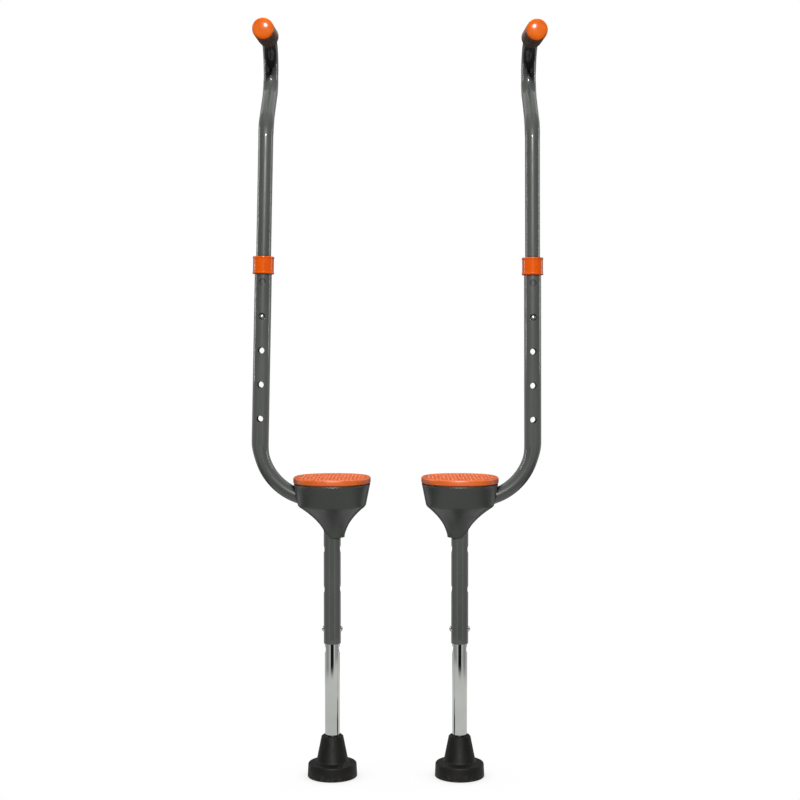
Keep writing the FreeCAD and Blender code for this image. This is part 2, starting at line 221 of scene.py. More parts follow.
class BentPath:
    """A run of straights and bends in one plane. A positive angle turns towards normal x heading."""

    def __init__(self, start, heading, normal):
        self.point = Vector(start)
        self.heading = Vector(heading)
        self.normal = Vector(normal)
        self.length = 0.0
        self.runs = []
        self.marks = [0.0]

    def _add(self, length, radius, flattening, pieces):
        self.runs.append((self.length, length, self.point, self.heading, radius, flattening))
        self.marks += [self.length + length * (i + 1) / pieces for i in range(pieces)]
        self.length += length
        self.point, self.heading = self.at(self.length)
        return self

    def straight(self, length):
        return self._add(length, None, 0.0, 1)

    def bend(self, radius, angle, flattening=0.0):
        """A bend that squeezes the tube by this share in its own plane, as bending does."""
        pieces = math.ceil(abs(angle) / BEND_STEP_DEG)
        length = radius * math.radians(abs(angle))
        return self._add(length, math.copysign(radius, angle), flattening, pieces)

    def run_at(self, distance):
        return [run for run in self.runs if run[0] <= distance + 1e-9][-1]

    def at(self, distance):
        """The point and heading this far along the path."""
        begin, _, point, heading, radius, _ = self.run_at(distance)
        gone = distance - begin
        if radius is None:
            return point + heading * gone, heading
        inward = self.normal.cross(heading)
        turned = gone / radius
        middle = point + inward * radius
        place = middle - inward * radius * math.cos(turned) + heading * radius * math.sin(turned)
        return place, heading * math.cos(turned) + inward * math.sin(turned)

    def squeeze(self, distance):
        """How much the tube is flattened here. It sets in and lets go over the bend's ends."""
        begin, length, _, _, _, flattening = self.run_at(distance)
        gone = (distance - begin) / length
        share = min(1.0, gone / BEND_SETTLE, (1 - gone) / BEND_SETTLE)
        return flattening * share * share * (3 - 2 * share)

    def spot(self, distance, column, radius):
        """A point this far from the path's line. Column 0 faces normal x heading, and a turn has COLUMNS."""
        point, heading = self.at(distance)
        squeeze = self.squeeze(distance)
        turn = 2 * math.pi * column / COLUMNS
        inward = self.normal.cross(heading) * math.cos(turn) * (1 - squeeze)
        across = self.normal * math.sin(turn) * (1 + squeeze / 2)
        return point + (inward + across) * radius

    def ring(self, distance, radius):
        return [self.spot(distance, column, radius) for column in range(COLUMNS)]


def square_border(steps):
    """Points round the square from -1 to 1, this many to a side."""
    run = [-1 + 2 * i / steps for i in range(steps)]
    bottom = [(t, -1) for t in run]
    right = [(1, t) for t in run]
    top = [(-t, 1) for t in run]
    left = [(-1, -t) for t in run]
    return bottom + right + top + left


def holed_band(shell, path, outer_r, inner_r, middle, reach, hole_r, columns):
    """The tube from middle - reach to middle + reach, with a round hole facing each of these columns."""
    steps = 2 * HOLE_SPAN
    heights = [middle - reach + 2 * reach * i / steps for i in range(steps + 1)]
    starts = [c + HOLE_SPAN for c in columns]
    ends = [c - HOLE_SPAN for c in columns[1:]] + [columns[0] - HOLE_SPAN + COLUMNS]
    for radius in (outer_r, inner_r):
        for start, end in zip(starts, ends):
            span = range(start, end + 1)
            shell.grid([[path.spot(h, c, radius) for c in span] for h in heights], closed=False)
    border = square_border(steps)

    def hole_point(column, u, v, from_axis, radius):
        angle = math.atan2(v, u)
        aside = math.asin(from_axis * math.cos(angle) / radius) / (2 * math.pi) * COLUMNS
        return column + aside, middle + from_axis * math.sin(angle)

    def loop(column, share, from_axis, radius):
        """A loop that goes from the square border, at share 0, to the hole's circle, at share 1."""
        points = []
        for u, v in border:
            round_c, round_s = hole_point(column, u, v, from_axis, radius)
            square_c, square_s = column + u * HOLE_SPAN, middle + v * reach
            c = square_c + (round_c - square_c) * share
            s = square_s + (round_s - square_s) * share
            points.append(path.spot(s, c, radius))
        return points

    for column in columns:
        for radius, rim in ((outer_r, EDGE_ROUND), (inner_r, 0.0)):
            shell.grid([loop(column, i / HOLE_LOOPS, hole_r + rim, radius) for i in range(HOLE_LOOPS + 1)])
        wall = []
        for a in QUARTER_TURN:
            lip_r = hole_r + HOLE_ROUND * (1 - math.sin(a))
            wall.append(loop(column, 1, lip_r, outer_r - HOLE_ROUND * (1 - math.cos(a))))
        shell.grid(wall + [loop(column, 1, hole_r, inner_r)])


def tube(path, outer_r, inner_r, holes=(), begin=0.0):
    """A tube along a path, with (distance, radius, columns) holes and softly rounded ends."""
    shell = Shell()
    reach = outer_r * 2 * math.pi * HOLE_SPAN / COLUMNS
    low = begin + EDGE_ROUND
    high = path.length - EDGE_ROUND
    marks = {low, high} | {m for m in path.marks if low < m < high}
    for middle, _, _ in holes:
        marks |= {middle - reach, middle + reach}
    marks = sorted(marks)
    for start, end in zip(marks, marks[1:]):
        drilled = [hole for hole in holes if start < hole[0] < end]
        if drilled:
            middle, hole_r, columns = drilled[0]
            holed_band(shell, path, outer_r, inner_r, middle, reach, hole_r, columns)
            continue
        for radius in (outer_r, inner_r):
            shell.grid([path.ring(start, radius), path.ring(end, radius)])
    for edge, outwards in ((low, -1), (high, 1)):
        rows = [
            path.ring(edge + outwards * EDGE_ROUND * math.sin(a), outer_r - EDGE_ROUND * (1 - math.cos(a)))
            for a in QUARTER_TURN
        ]
        rows += [path.ring(edge + outwards * EDGE_ROUND, inner_r), path.ring(edge, inner_r)]
        shell.grid(rows)
    return shell


def rounded(corners, steps=6):
    """An outline through (across, up, rounding) corners, each turned into an arc of its rounding."""
    outline = []
    for i, (x, y, radius) in enumerate(corners):
        here = Vector((x, y))
        if radius == 0 or i in (0, len(corners) - 1):
            outline.append(here)
            continue
        back = (Vector(corners[i - 1][:2]) - here).normalized()
        ahead = (Vector(corners[i + 1][:2]) - here).normalized()
        half = back.angle(ahead) / 2
        centre = here + (back + ahead).normalized() * radius / math.sin(half)
        first = here + back * radius / math.tan(half) - centre
        last = here + ahead * radius / math.tan(half) - centre
        sweep = first.angle_signed(last)
        for step in range(steps + 1):
            turn = -sweep * step / steps
            c = math.cos(turn)
            s = math.sin(turn)
            outline.append(centre + Vector((first.x * c - first.y * s, first.x * s + first.y * c)))
    return outline


def turned(outline, base=(0, 0, 0), axis=Z_AXIS):
    """Turns an outline of (distance from axis, height) points about an axis."""
    base = Vector(base)
    axis = Vector(axis).normalized()
    side = axis.orthogonal().normalized()
    other = axis.cross(side)
    rows = []
    angles = [2 * math.pi * i / TURNED_COLUMNS for i in range(TURNED_COLUMNS)]
    for r, height in outline:
        rows.append([base + axis * height + (side * math.cos(a) + other * math.sin(a)) * r for a in angles])
    shell = Shell()
    shell.grid(rows)
    return shell


def oval(half_x, half_y, z, power, centre_x=0.0):
    """A superellipse of points: power 2 is an ellipse, and more is squarer."""
    points = []
    for step in range(OVAL_COLUMNS):
        angle = 2 * math.pi * step / OVAL_COLUMNS
        c = math.cos(angle)
        s = math.sin(angle)
        x = half_x * math.copysign(abs(c) ** (2 / power), c)
        y = half_y * math.copysign(abs(s) ** (2 / power), s)
        points.append(Vector((centre_x + x, y, z)))
    return points


class Stilt:
    """Where one stilt stands in the frame."""

    def __init__(self, side):
        mounts = {m["name"]: m for m in frame["record"]["mounts"]}
        slides = {j["name"]: j for j in frame["joints"]}
        axis = slides[f"{side}_handle_slide"]["axis"]
        self.side = side
        self.mirror = 1 if side == "left" else -1
        self.origin = Vector(mounts[f"{side}_sole"]["pos_m"])
        self.lean = math.atan2(abs(axis[0]), axis[2])

    def place(self, point, leans):
        """A point of the left stilt's drawing, in the frame's metres."""
        x, y, z = point
        if leans:
            dx, dz = x + OUTER_R, z - BEND_Z
            x = -OUTER_R + dx * math.cos(self.lean) + dz * math.sin(self.lean)
            z = BEND_Z + dz * math.cos(self.lean) - dx * math.sin(self.lean)
        return self.origin + Vector((self.mirror * x, y, z)) * MM

    def build(self, name, shell, leans):
        """The welded object, with its faces turned outwards."""
        made = bmesh.new()
        verts = [made.verts.new(self.place(p, leans)) for p in shell.points]
        for face in shell.faces:
            made.faces.new([verts[i] for i in face])
        bmesh.ops.remove_doubles(made, verts=made.verts, dist=WELD_DISTANCE * MM)
        bmesh.ops.dissolve_degenerate(made, edges=made.edges, dist=WELD_DISTANCE * MM)
        bmesh.ops.recalc_face_normals(made, faces=made.faces)
        mesh = bpy.data.meshes.new(name)
        made.to_mesh(mesh)
        made.free()
        piece = bpy.data.objects.new(name, mesh)
        bpy.context.scene.collection.objects.link(piece)
        return piece


def soften(piece):
    """Smooth shading, except across sharp edges."""
    mesh = piece.data
    mesh.shade_smooth()
    mesh.set_sharp_from_angle(angle=math.radians(SMOOTH_BELOW_DEG))


def cut(piece, cutters):
    """Cuts the cutters out of a piece, and removes them."""
    for cutter in cutters:
        step = piece.modifiers.new(cutter.name, "BOOLEAN")
        step.operation = "DIFFERENCE"
        step.solver = "EXACT"
        step.object = cutter
    seen = piece.evaluated_get(bpy.context.evaluated_depsgraph_get())
    mesh = bpy.data.meshes.new_from_object(seen)
    piece.modifiers.clear()
    piece.data = mesh
    for cutter in cutters:
        bpy.data.objects.remove(cutter)


# ---------------------------------------------------------------- paths
def pole_path():
    """From the leg's axis through the J bend to the pole's mouth."""
    path = BentPath((0, 0, BEND_Z), -X_AXIS, Y_AXIS)
    path.straight(POLE_OFFSET - BEND_R)
    path.bend(BEND_R, 90, POLE_FLATTENING)
    return path.straight(POLE_TOP_Z - BEND_Z - BEND_R)


def handle_path():
    """From the handle tube's bottom end to the start of the grip."""
    angle = math.radians(SETBACK_ANGLE)
    middle_run = (SETBACK - 2 * SETBACK_BEND_R * (1 - math.cos(angle))) / math.sin(angle)
    path = BentPath((-POLE_OFFSET, 0, HANDLE_TUBE_BOTTOM_Z), Z_AXIS, -X_AXIS)
    path.straight(SETBACK_START_Z - HANDLE_TUBE_BOTTOM_Z)
    path.bend(SETBACK_BEND_R, SETBACK_ANGLE, HANDLE_FLATTENING)
    path.straight(middle_run)
    path.bend(SETBACK_BEND_R, -SETBACK_ANGLE, HANDLE_FLATTENING)
    return path.bend(GRIP_BEND_R, -GRIP_BEND_ANGLE, HANDLE_FLATTENING)


def upright_path(bottom_z, top_z):
    """Straight up the leg, with its normal along +X."""
    return BentPath((0, 0, bottom_z), Z_AXIS, X_AXIS).straight(top_z - bottom_z)


# the columns that face along a path's normal, both ways
ALONG_NORMAL = (COLUMNS // 4, 3 * COLUMNS // 4)


# ---------------------------------------------------------------- pieces
# Each is drawn for the left stilt. Outlines list (distance from axis, height, rounding).
def pole_tube():
    path = pole_path()
    holes = []
    for step in range(-POLE_HOLES_BELOW, POLE_HOLES_ABOVE + 1):
        below_top = POLE_TOP_Z - HANDLE_BUTTON_Z - POLE_HOLE_PITCH * step
        holes.append((path.length - below_top, POLE_HOLE_R, ALONG_NORMAL))
    return tube(path, OUTER_R, OUTER_BORE_R, holes, begin=OUTER_R)


def handle_tube():
    path = handle_path().straight(GRIP_LENGTH - 1)
    button_hole = (HANDLE_BUTTON_Z - HANDLE_TUBE_BOTTOM_Z, HANDLE_TUBE_HOLE_R, (COLUMNS // 2,))
    return tube(path, INNER_R, INNER_BORE_R, [button_hole])


def leg_sleeve():
    heights = [LEG_BUTTON_Z + LEG_HOLE_PITCH * i for i in range(LEG_HOLE_COUNT)]
    holes = [(z - SLEEVE_BOTTOM_Z, SLEEVE_HOLE_R, ALONG_NORMAL) for z in heights]
    return tube(upright_path(SLEEVE_BOTTOM_Z, SLEEVE_TOP_Z), OUTER_R, OUTER_BORE_R, holes)


def leg_tube():
    heights = (LEG_SPARE_HOLE_Z, LEG_BUTTON_Z)
    holes = [(z - LEG_TUBE_BOTTOM_Z, LEG_TUBE_HOLE_R, ALONG_NORMAL) for z in heights]
    return tube(upright_path(LEG_TUBE_BOTTOM_Z, LEG_TUBE_TOP_Z), INNER_R, INNER_BORE_R, holes)


def rubber_foot():
    corners = [(0, 0, 0)]
    for radius in SOLE_GROOVE_RADII:
        inner = radius - SOLE_GROOVE_WIDTH / 2
        outer = radius + SOLE_GROOVE_WIDTH / 2
        corners += [
            (inner, 0, 0.3),
            (inner + SOLE_GROOVE_SLOPE, SOLE_GROOVE_DEPTH, 0.3),
            (outer - SOLE_GROOVE_SLOPE, SOLE_GROOVE_DEPTH, 0.3),
            (outer, 0, 0.3),
        ]
    corners += [
        (FOOT_SOLE_R, 0, 1.3),
        (FOOT_DISC_TOP_R, FOOT_DISC_TOP_Z, 2.6),
        (FOOT_NECK_R, FOOT_NECK_Z, 4.0),
        (FOOT_TOP_R, FOOT_RIM_Z, 0.9),
        (FOOT_RIM_R, FOOT_TOP_Z, 0.6),
        (FOOT_SOCKET_R, FOOT_TOP_Z - FOOT_SOCKET_LIP, 0.4),
        (FOOT_SOCKET_R, FOOT_SOCKET_Z, 0),
        (0, FOOT_SOCKET_Z, 0),
    ]
    return turned(rounded(corners))


def snap_button(radius, tip_out, dome_height, middle, outwards):
    """A flanged pin with a domed tip, this far out from the tube's axis."""
    flange_r = radius + FLANGE_EXTRA_R
    flange_top = FLANGE_IN_OUT + FLANGE_THICKNESS
    dome_r = (radius**2 + dome_height**2) / (2 * dome_height)
    full = math.asin(radius / dome_r) if dome_height < radius else math.pi / 2
    outline = rounded(
        [
            (0, FLANGE_IN_OUT, 0),
            (flange_r, FLANGE_IN_OUT, 0.3),
            (flange_r, flange_top, 0.3),
            (radius, flange_top, 0),
            (radius, tip_out - dome_height, 0),
        ]
    )
    for step in range(1, DOME_STEPS + 1):
        angle = full * (1 - step / DOME_STEPS)
        outline.append(Vector((dome_r * math.sin(angle), tip_out - dome_r * (1 - math.cos(angle)))))
    return turned(outline, middle, outwards)


def handle_button():
    middle = (-POLE_OFFSET, 0, HANDLE_BUTTON_Z)
    return snap_button(HANDLE_BUTTON_R, HANDLE_BUTTON_TIP_OUT, HANDLE_DOME_HEIGHT, middle, -Y_AXIS)


def leg_button_outer():
    return snap_button(LEG_BUTTON_R, LEG_BUTTON_TIP_OUT, LEG_BUTTON_R, (0, 0, LEG_BUTTON_Z), -X_AXIS)


def leg_button_inner():
    return snap_button(LEG_BUTTON_R, LEG_BUTTON_TIP_OUT, LEG_BUTTON_R, (0, 0, LEG_BUTTON_Z), X_AXIS)


def collar():
    waist_r = COLLAR_R - COLLAR_WAIST
    slope = COLLAR_BEAD + COLLAR_BEAD_SLOPE
    seat_z = POLE_TOP_Z + COLLAR_SEAT
    outline = rounded(
        [
            (COLLAR_BORE_R, COLLAR_BOTTOM_Z, 0),
            (COLLAR_R, COLLAR_BOTTOM_Z, 1.2),
            (COLLAR_R, COLLAR_BOTTOM_Z + COLLAR_BEAD, 0.4),
            (waist_r, COLLAR_BOTTOM_Z + slope, 0.4),
            (waist_r, COLLAR_TOP_Z - slope, 0.4),
            (COLLAR_R, COLLAR_TOP_Z - COLLAR_BEAD, 0.4),
            (COLLAR_R, COLLAR_TOP_Z, 1.2),
            (OUTER_BORE_R, COLLAR_TOP_Z, 0.4),
            (OUTER_BORE_R, seat_z, 0),
            (COLLAR_BORE_R, seat_z, 0),
            (COLLAR_BORE_R, COLLAR_BOTTOM_Z, 0),
        ]
    )
    return turned(outline, (-POLE_OFFSET, 0, 0))


def grip():
    start = handle_path()
    pitch = GRIP_LENGTH / (GRIP_GROOVE_COUNT + 1)
    half = GRIP_GROOVE_WIDTH / 2
    half_floor = GRIP_GROOVE_FLOOR / 2
    groove_r = GRIP_R - GRIP_GROOVE_DEPTH
    corners = [(GRIP_BORE_R, 0, 0), (GRIP_R - GRIP_TAPER, 0, 0.8), (GRIP_R, GRIP_TAPER_LENGTH, 2.0)]
    for number in range(1, GRIP_GROOVE_COUNT + 1):
        middle = number * pitch
        corners += [
            (GRIP_R, middle - half, 1.6),
            (groove_r, middle - half_floor, 0.5),
            (groove_r, middle + half_floor, 0.5),
            (GRIP_R, middle + half, 1.6),
        ]
    corners += [(GRIP_R, GRIP_LENGTH, 0.6), (GRIP_BORE_R, GRIP_LENGTH, 0), (GRIP_BORE_R, 0, 0)]
    return turned(rounded(corners), start.point, start.heading)


def grip_cap():
    start = handle_path()
    top = GRIP_LENGTH + CAP_RIM + CAP_DOME
    outline = rounded(
        [
            (0, GRIP_LENGTH, 0),
            (CAP_R, GRIP_LENGTH, 0.7),
            (CAP_R, GRIP_LENGTH + CAP_RIM, 1.2),
            (CAP_R - CAP_SHOULDER, GRIP_LENGTH + CAP_RIM + CAP_SHOULDER_RISE, 1.5),
        ]
    )[:-1]
    edge = outline[-1]
    for step in range(1, CAP_STEPS + 1):
        angle = math.pi / 2 * step / CAP_STEPS
        outline.append(Vector((edge.x * math.cos(angle), edge.y + (top - edge.y) * math.sin(angle))))
    return turned(outline, start.point, start.heading)


def tread_places():
    """(x, y, which way it leans) of each stud that lies inside the pad's border."""
    rows_each_way = int(PAD_HALF_DEPTH // TREAD_PITCH)
    columns_each_way = int(PAD_HALF_WIDTH // TREAD_PITCH) + 1
    for row in range(-rows_each_way, rows_each_way + 1):
        for column in range(-columns_each_way, columns_each_way + 1):
            x = (column + 0.5 * (row % 2)) * TREAD_PITCH
            y = row * TREAD_PITCH
            from_edge_x = abs(x) / (PAD_HALF_WIDTH - TREAD_MARGIN)
            from_edge_y = abs(y) / (PAD_HALF_DEPTH - TREAD_MARGIN)
            if from_edge_x**PAD_POWER + from_edge_y**PAD_POWER <= 1:
                yield x, y, 1 if row % 2 else -1


def add_tread(shell):
    """Long rounded studs over the pad, that lean the other way in every second row."""
    angles = [2 * math.pi * i / STUD_COLUMNS for i in range(STUD_COLUMNS)]
    for x, y, way in tread_places():
        tilt = way * math.pi / 4
        along = Vector((math.cos(tilt), math.sin(tilt), 0)) * STUD_HALF_LENGTH
        aside = Vector((-math.sin(tilt), math.cos(tilt), 0)) * STUD_HALF_WIDTH
        rings = []
        for scale, lift in STUD_OUTLINE:
            middle = Vector((x, y, TREAD_FLOOR_Z + lift))
            rings.append([middle + (along * math.cos(a) + aside * math.sin(a)) * scale for a in angles])
        shell.grid(rings)


def foot_pad():
    skirt_top_z = PAD_BOTTOM_Z + PAD_SKIRT_HEIGHT
    profile = rounded(        # (distance in from the edge, height, rounding)
        [
            (PAD_HALF_WIDTH, PAD_BOTTOM_Z, 0),
            (PAD_SKIRT, PAD_BOTTOM_Z, 0),
            (PAD_SKIRT - PAD_SKIRT_DRAFT, skirt_top_z, 0.3),
            (0, skirt_top_z + PAD_LEDGE_DRAFT, 0.5),
            (0, PAD_TOP_Z, 2.2),
            (PAD_BORDER, PAD_TOP_Z, 0.5),
            (PAD_BORDER + TREAD_SLOPE, TREAD_FLOOR_Z, 0.5),
            (PAD_HALF_WIDTH, TREAD_FLOOR_Z, 0),
        ]
    )
    rows = []
    for inset, z in profile:
        half_y = (PAD_HALF_DEPTH - inset) if inset < PAD_HALF_WIDTH else 0
        rows.append(oval(PAD_HALF_WIDTH - inset, half_y, z, PAD_POWER))
    shell = Shell()
    shell.grid(rows)
    add_tread(shell)
    return shell


def funnel_section(share):
    """(half width, half depth, height, power, shift) of the funnel, from its neck at 0 to the band at 1."""
    spread = share**FUNNEL_CURVE
    return (
        NECK_R + (BAND_BOTTOM_HALF_WIDTH - NECK_R) * spread,
        NECK_R + (BAND_BOTTOM_HALF_DEPTH - NECK_R) * spread,
        NECK_Z + (BAND_BOTTOM_Z - NECK_Z) * share,
        2 + (BAND_POWER - 2) * spread,
        NECK_SHIFT * min(1.0, NECK_SHIFT_RATE * (1 - share)),
    )


def band_section(share):
    """The same for the band, from its bottom at 0 to the rim at 1."""
    bottom = funnel_section(1)
    rim = (RIM_HALF_WIDTH, RIM_HALF_DEPTH, RIM_Z, RIM_POWER, 0.0)
    return tuple(b + (r - b) * share for b, r in zip(bottom, rim))


def inset(section, by, lift=0.0):
    """A section of the housing as an oval of points, drawn in by this much."""
    half_x, half_y, z, power, shift = section
    return oval(half_x - by, half_y - by, z + lift, power, shift)


def housing():
    """From the rim down the outside to the neck, and up again inside."""
    corner_share = BAND_CORNER / (RIM_Z - BAND_BOTTOM_Z)
    top_share = 1 - FUNNEL_CORNER / (BAND_BOTTOM_Z - NECK_Z)
    rows = []
    for a in reversed(QUARTER_TURN):
        lift = -RIM_ROUND * (1 - math.sin(a))
        rows.append(inset(band_section(1), RIM_ROUND * (1 - math.cos(a)), lift))
    for i in range(1, BAND_ROWS):
        rows.append(inset(band_section(1 - (1 - corner_share) * i / BAND_ROWS), 0))
    corner = (band_section(corner_share), funnel_section(1), funnel_section(top_share))
    for i in range(CORNER_ROWS + 1):
        t = i / CORNER_ROWS
        section = [a * (1 - t) ** 2 + b * 2 * t * (1 - t) + c * t**2 for a, b, c in zip(*corner)]
        rows.append(inset(section, 0))
    for i in range(1, FUNNEL_ROWS + 1):
        rows.append(inset(funnel_section(top_share * (1 - i / FUNNEL_ROWS)), 0))
    for a in QUARTER_TURN[1:]:
        lift = NECK_ROUND * (0.5 - math.sin(a))
        rows.append(inset(funnel_section(0), NECK_ROUND * (1 - math.cos(a)), lift))
    for i in range(FUNNEL_ROWS + 1):
        rows.append(inset(funnel_section(i / FUNNEL_ROWS), HOUSING_WALL))
    for i in range(1, BAND_ROWS + 1):
        rows.append(inset(band_section(i / BAND_ROWS), HOUSING_WALL))
    rows.append(rows[0])
    shell = Shell()
    shell.grid(rows)
    return shell


def housing_cutters(stilt):
    """The sleeve's bore and the pole's way in, as plugs that stand out past the housing."""
    past = 20
    bore = upright_path(NECK_Z - past, RIM_Z + past)
    pole_runs_in_for = POLE_OFFSET - BEND_R + BEND_R * math.pi / 3
    cutters = []
    for name, path, radius, end, leans in (
        ("bore", bore, OUTER_R + SLEEVE_GAP, bore.length, False),
        ("way_in", pole_path(), OUTER_R + POLE_GAP, pole_runs_in_for, True),
    ):
        marks = [m for m in path.marks if m < end] + [end]
        plug = Shell()
        plug.grid([path.ring(marks[0], 0)] + [path.ring(m, radius) for m in marks] + [path.ring(end, 0)])
        cutters.append(stilt.build(f"{stilt.side}_{name}_cutter", plug, leans))
    return cutters


# ---------------------------------------------------------------- materials
# noise values between which a pattern sets in
DRIFTING = (0.35, 0.65)
HAZY = (0.35, 0.7)
PATCHY = (0.4, 0.7)
SPARSE = (0.45, 0.7)
WIDE = (0.3, 0.7)
# openness, from 1 in the open to 0 shut in, between which a place comes to count as a gap or a tube's
# inside, and takes painted shade
GAP = (0.94, 0.55)
TUBE_INSIDE = (0.5, 0.3)
AO_SAMPLES = 8
DUST_HEIGHT = 0.012


class Wiring:
    """Short ways to add nodes to a tree."""

    def __init__(self, tree):
        self.tree = tree

    def add(self, kind, **settings):
        node = self.tree.nodes.new(kind)
        for key, value in settings.items():
            setattr(node, key, value)
        return node

    def feed(self, socket, value):
        """Links a node output to a socket, or sets the socket to a plain value."""
        if isinstance(value, bpy.types.NodeSocket):
            self.tree.links.new(value, socket)
        else:
            socket.default_value = value

    def spread(self, value, low, high, new_low=0.0, new_high=1.0, kind="LINEAR"):
        """Maps low to high onto new_low to new_high."""
        node = self.add("ShaderNodeMapRange", interpolation_type=kind)
        for socket, setting in zip(node.inputs, (value, low, high, new_low, new_high)):
            self.feed(socket, setting)
        return node.outputs["Result"]

    def ramp(self, value, low, high, new_low=0.0, new_high=1.0):
        """The same, setting in and ending softly."""
        return self.spread(value, low, high, new_low, new_high, "SMOOTHSTEP")

    def maths(self, operation, first, second=0.0):
        node = self.add("ShaderNodeMath", operation=operation)
        self.feed(node.inputs[0], first)
        self.feed(node.inputs[1], second)
        return node.outputs["Value"]

    def times(self, first, second):
        return self.maths("MULTIPLY", first, second)

    def split(self, coordinates):
        """The X, Y and Z of a texture coordinate."""
        place = self.add("ShaderNodeTexCoord")
        node = self.add("ShaderNodeSeparateXYZ")
        self.feed(node.inputs["Vector"], place.outputs[coordinates])
        return node.outputs["X"], node.outputs["Y"], node.outputs["Z"]

    def openness(self, reach, samples=AO_SAMPLES):
        """1 in the open and 0 where everything is shut in, looking this many metres around."""
        node = self.add("ShaderNodeAmbientOcclusion", samples=samples)
        node.inputs["Distance"].default_value = reach
        return node.outputs["AO"]


class Look(Wiring):
    """A node material as it is being put together. Tones are screen colours from 0 to 255."""

    def __init__(self, name, metallic=0.0):
        self.material = bpy.data.materials.new(name)
        self.material.use_nodes = True
        super().__init__(self.material.node_tree)
        self.shader = self.tree.nodes["Principled BSDF"]
        self.place = self.add("ShaderNodeTexCoord").outputs["Object"]
        self.set("Metallic", metallic)

    def set(self, name, value):
        self.feed(self.shader.inputs[name], value)

    def noise(self, scale, detail=3, stretch=(1, 1, 1)):
        """Noise with about this many spots to a metre."""
        mapping = self.add("ShaderNodeMapping")
        self.feed(mapping.inputs["Vector"], self.place)
        mapping.inputs["Scale"].default_value = stretch
        node = self.add("ShaderNodeTexNoise")
        self.feed(node.inputs["Vector"], mapping.outputs["Vector"])
        node.inputs["Scale"].default_value = scale
        node.inputs["Detail"].default_value = detail
        return node.outputs["Fac"]

    def mix(self, share, first, second):
        node = self.add("ShaderNodeMix", data_type="RGBA")
        self.feed(node.inputs["Factor"], share)
        self.feed(node.inputs[6], first)
        self.feed(node.inputs[7], second)
        return node.outputs[2]

    def clouds(self, scale, first, second, detail=3, sets_in=DRIFTING):
        """Two tones that drift into each other."""
        return self.mix(self.spread(self.noise(scale, detail), *sets_in), colour(*first), colour(*second))

    def rubbed(self, tone, bared, scale, most, detail=3, sets_in=PATCHY, edges=(0.53, 0.62)):
        """The tone, with patches of another on outward edges, of at most this strength."""
        pointiness = self.add("ShaderNodeNewGeometry").outputs["Pointiness"]
        patches = self.spread(self.noise(scale, detail), *sets_in, 0, most)
        return self.mix(self.times(self.spread(pointiness, *edges), patches), tone, colour(*bared))

    def painted_gap_shade(self, tone, shade_tone, reach, scale, least):
        """The tone, with painted shade of at least this strength in gaps, looking this many millimetres
        around.
        """
        sheltered = self.spread(self.openness(reach * MM), *GAP)
        shade_amount = self.times(sheltered, self.spread(self.noise(scale), *WIDE, least, 1.0))
        return self.mix(shade_amount, tone, colour(*shade_tone))

    def rough(self, scale, low, high, detail=3, which="Roughness"):
        """A roughness that varies from low to high."""
        self.set(which, self.spread(self.noise(scale, detail), *WIDE, low, high))

    def bump(self, *layers):
        """Relief from (height, depth in millimetres) layers."""
        normal = None
        for relief, depth in layers:
            node = self.add("ShaderNodeBump")
            node.inputs["Distance"].default_value = depth * MM
            self.feed(node.inputs["Height"], relief)
            if normal is not None:
                self.feed(node.inputs["Normal"], normal)
            normal = node.outputs["Normal"]
        self.set("Normal", normal)


def colour(red, green, blue):
    """A screen colour from 0 to 255, as linear light."""
    channels = []
    for value in (red, green, blue):
        share = value / 255
        channels.append(share / 12.92 if share <= 0.04045 else ((share + 0.055) / 1.055) ** 2.4)
    return (*channels, 1.0)


def grey_paint():
    """Gloss powder coat, with painted shade in gaps, and painted shade that makes it nearly black inside the
    tubes.
    """
    look = Look("grey_paint")
    tone = look.clouds(7, (52, 54, 52), (60, 62, 60), detail=2)
    flecks = look.spread(look.noise(1500, 2), 0.45, 0.75, 0, 0.5)
    tone = look.mix(flecks, tone, colour(80, 82, 80))
    tone = look.rubbed(tone, (108, 107, 103), 260, 0.4, sets_in=(0.5, 0.7))
    # painted shade in gaps: dark lines round holes, under the collar and at joints
    tone = look.painted_gap_shade(tone, (16, 16, 15), 4.0, 90, 0.65)
    # painted shade: the paint turns near black inside the tubes
    inside = look.spread(look.openness(25.0 * MM), *TUBE_INSIDE)
    look.set("Base Color", look.mix(inside, tone, colour(6, 6, 6)))
    look.rough(45, 0.34, 0.46)
    look.set("Specular IOR Level", 0.2)
    look.set("Coat Weight", 0.9)
    look.rough(30, 0.05, 0.1, which="Coat Roughness")
    scratches = look.spread(look.noise(420, 2, (1, 1, 0.1)), 0.66, 0.72)
    look.bump((look.noise(900, 2), 0.008), (scratches, 0.003))
    return look.material


def chrome():
    """Bright plate, with the tube's drawing lines and wiped smears."""
    look = Look("chrome", metallic=1.0)
    look.set("Base Color", look.clouds(14, (214, 216, 212), (196, 199, 194), sets_in=HAZY))
    smears = look.noise(60, 4, (1, 1, 0.4))
    look.set("Roughness", look.spread(smears, 0.45, 0.75, 0.03, 0.13))
    drawn = look.noise(700, 3, (1, 1, 0.02))
    look.bump((drawn, 0.004), (look.noise(30, 2), 0.03))
    return look.material


def collar_orange():
    """Glossy moulded plastic."""
    look = Look("collar_orange")
    tone = look.clouds(60, (176, 66, 0), (184, 72, 2))
    look.set("Base Color", look.rubbed(tone, (214, 110, 50), 300, 0.45))
    look.rough(110, 0.14, 0.22)
    look.set("Specular IOR Level", 0.3)
    look.bump((look.noise(500, 2), 0.004))
    return look.material


def cap_orange():
    """The same plastic with a grained surface under a thin shine."""
    look = Look("cap_orange")
    tone = look.clouds(90, (170, 72, 8), (182, 82, 14))
    look.set("Base Color", look.rubbed(tone, (206, 120, 66), 300, 0.5))
    look.rough(210, 0.5, 0.65)
    look.set("Specular IOR Level", 0.06)
    look.set("Coat Weight", 0.35)
    look.set("Coat Roughness", 0.16)
    look.bump((look.noise(380, 2), 0.16), (look.noise(1300, 2), 0.05))
    return look.material


